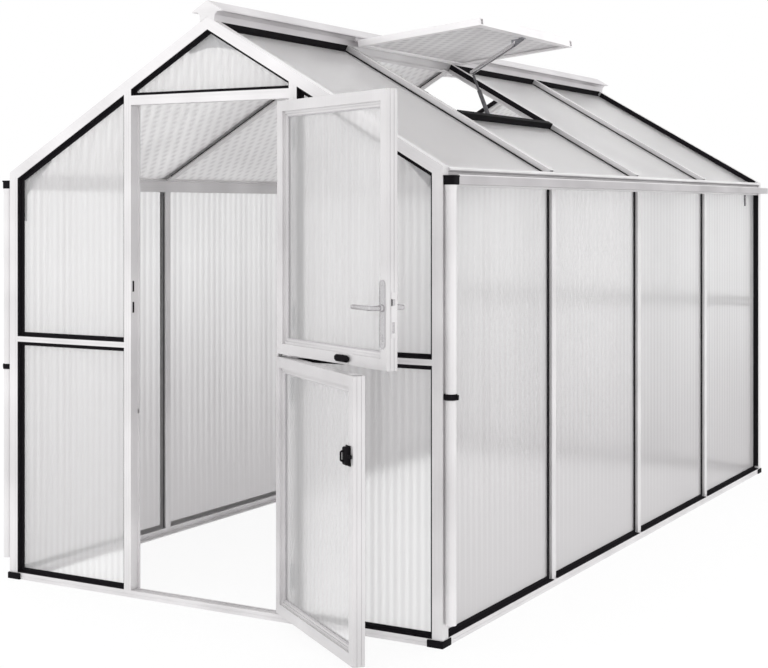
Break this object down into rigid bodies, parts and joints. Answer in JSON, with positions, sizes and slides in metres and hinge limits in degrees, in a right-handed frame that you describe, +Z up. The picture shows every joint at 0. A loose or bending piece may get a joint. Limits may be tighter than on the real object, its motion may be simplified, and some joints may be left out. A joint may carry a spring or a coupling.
{
  "type": "greenhouse",
  "caption": "Aluminium greenhouse with twin-wall glazing, a split door, two hinged roof vents, gutters and downpipes.",
  "frame": {"origin": "middle of the four anchor holes in the side sills, at ground level, which is the middle of the footprint", "axes": "+X to the right seen from the door side, +Y from the door gable to the rear gable along the ridge, +Z up"},
  "size_m": [2.156, 4.5518, 2.3693],
  "materials": {
    "aluminium": "mill, satin",
    "twin_wall_sheet": "translucent twin-wall polycarbonate sheet, satin",
    "seal_black": "matt",
    "black_plastic": "matt",
    "steel_hardware": "satin"
  },
  "bodies": {
    "frame": {"gable_sills": "aluminium", "side_sills": "aluminium", "base_corner_caps": "black_plastic", "corner_posts": "aluminium", "gable_rafters": "aluminium", "door_posts": "aluminium", "rear_gable_posts": "aluminium", "door_header": "aluminium", "mid_rails": "aluminium", "eave_beams": "aluminium", "ridge_beam": "aluminium", "ridge_cap": "aluminium", "wall_bars": "aluminium", "roof_bars": "aluminium", "front_gable_panels": "twin_wall_sheet", "rear_gable_panels": "twin_wall_sheet", "wall_panels": "twin_wall_sheet", "roof_panels": "twin_wall_sheet", "gable_seals": "seal_black", "wall_seals": "seal_black", "roof_seals": "seal_black", "gutters": "aluminium", "gutter_outlets": "black_plastic", "gutter_end_caps": "aluminium", "downpipes": "aluminium", "pipe_clips": "black_plastic", "wall_bracket": "steel_hardware", "frame_gussets": "steel_hardware", "frame_bolts": "steel_hardware", "strike_plate": "steel_hardware", "hinge_brackets": "steel_hardware", "hinge_pins": "steel_hardware", "vent_sills": "black_plastic", "opener_brackets": "steel_hardware"},
    "upper_door": {"upper_leaf_frame": "aluminium", "upper_leaf_panel": "twin_wall_sheet", "upper_hinge_straps": "steel_hardware", "handle_plates": "steel_hardware", "lock_case": "steel_hardware", "lock_faceplate": "steel_hardware"},
    "lower_door": {"lower_leaf_frame": "aluminium", "lower_leaf_panel": "twin_wall_sheet", "lower_hinge_straps": "steel_hardware", "lower_latch_case": "black_plastic"},
    "lever": {"door_lever": "steel_hardware"},
    "latch": {"latch_bolt": "steel_hardware"},
    "key": {"key_plug": "steel_hardware"},
    "dead_bolt_body": {"dead_bolt": "steel_hardware"},
    "turn_button": {"coupling_knob": "black_plastic"},
    "lower_latch": {"lower_latch_slide": "black_plastic"},
    "right_vent_lid": {"right_vent_frame": "aluminium", "right_vent_panel": "twin_wall_sheet", "right_vent_lug": "steel_hardware"},
    "right_opener_lower": {"right_opener_lower_arm": "steel_hardware"},
    "right_opener_upper": {"right_opener_upper_arm": "steel_hardware"},
    "left_vent_lid": {"left_vent_frame": "aluminium", "left_vent_panel": "twin_wall_sheet", "left_vent_lug": "steel_hardware"},
    "left_opener_lower": {"left_opener_lower_arm": "steel_hardware"},
    "left_opener_upper": {"left_opener_upper_arm": "steel_hardware"}
  },
  "joints": [
    {"name": "upper_door_hinge", "type": "hinge", "parent": "frame", "child": "upper_door", "pos_m": [0.376, -2.032, 1.482], "axis": [0, 0, 1], "range_deg": [-153, 2]},
    {"name": "lower_door_hinge", "type": "hinge", "parent": "frame", "child": "lower_door", "pos_m": [0.376, -2.032, 0.526], "axis": [0, 0, 1], "range_deg": [-143.7, 11.3]},
    {"name": "lever_turn", "type": "hinge", "parent": "upper_door", "child": "lever", "pos_m": [1.0148, -2.36422, 1.222], "axis": [-0.454, -0.891, 0], "range_deg": [0, 40], "stiffness_Nm_per_rad": 0.5, "springref_deg": -10.03},
    {"name": "latch_slide", "type": "slide", "parent": "upper_door", "child": "latch", "axis": [-0.891, 0.454, 0], "range_m": [0, 0.004]},
    {"name": "key_turn", "type": "hinge", "parent": "upper_door", "child": "key", "pos_m": [1.0148, -2.36422, 1.122], "axis": [0.454, 0.891, 0], "range_deg": [-90, 0]},
    {"name": "dead_bolt_slide", "type": "slide", "parent": "upper_door", "child": "dead_bolt_body", "axis": [0.891, -0.454, 0], "range_m": [0, 0.018]},
    {"name": "turn_button_turn", "type": "hinge", "parent": "upper_door", "child": "turn_button", "pos_m": [0.77387, -2.2886, 1.035], "axis": [0.454, 0.891, 0], "range_deg": [0, 90]},
    {"name": "lower_latch_slide_joint", "type": "slide", "parent": "lower_door", "child": "lower_latch", "axis": [0.8059, -0.592, 0], "range_m": [0, 0.014]},
    {"name": "right_vent_hinge", "type": "hinge", "parent": "frame", "child": "right_vent_lid", "pos_m": [0.062, -0.50625, 2.29701], "axis": [0, -1, 0], "range_deg": [-35.8, 0]},
    {"name": "right_opener_foot_pivot", "type": "hinge", "parent": "frame", "child": "right_opener_lower", "pos_m": [0.48011, -0.50625, 1.95844], "axis": [0, -1, 0], "range_deg": [0, 26.96]},
    {"name": "right_opener_knee_pivot", "type": "hinge", "parent": "right_opener_lower", "child": "right_opener_upper", "pos_m": [0.38998, -0.50625, 2.18087], "axis": [0, -1, 0], "range_deg": [-89.71, 0]},
    {"name": "left_vent_hinge", "type": "hinge", "parent": "frame", "child": "left_vent_lid", "pos_m": [-0.062, 0.50625, 2.29701], "axis": [0, 1, 0], "range_deg": [-35.8, 0]},
    {"name": "left_opener_foot_pivot", "type": "hinge", "parent": "frame", "child": "left_opener_lower", "pos_m": [-0.48011, 0.50625, 1.95844], "axis": [0, 1, 0], "range_deg": [0, 26.96]},
    {"name": "left_opener_knee_pivot", "type": "hinge", "parent": "left_opener_lower", "child": "left_opener_upper", "pos_m": [-0.38998, 0.50625, 2.18087], "axis": [0, 1, 0], "range_deg": [-89.71, 0]}
  ],
  "couplings": [
    {"joint": "latch_slide", "follows": "lever_turn", "m_per_rad": 0.0057296},
    {"joint": "key_turn", "follows": "dead_bolt_slide", "rad_per_m": -87.266},
    {"joint": "right_opener_foot_pivot", "follows": "right_vent_hinge", "ratio": -0.75289},
    {"joint": "right_opener_knee_pivot", "follows": "right_vent_hinge", "ratio": 2.5058},
    {"joint": "left_opener_foot_pivot", "follows": "left_vent_hinge", "ratio": -0.75289},
    {"joint": "left_opener_knee_pivot", "follows": "left_vent_hinge", "ratio": 2.5058}
  ]
}
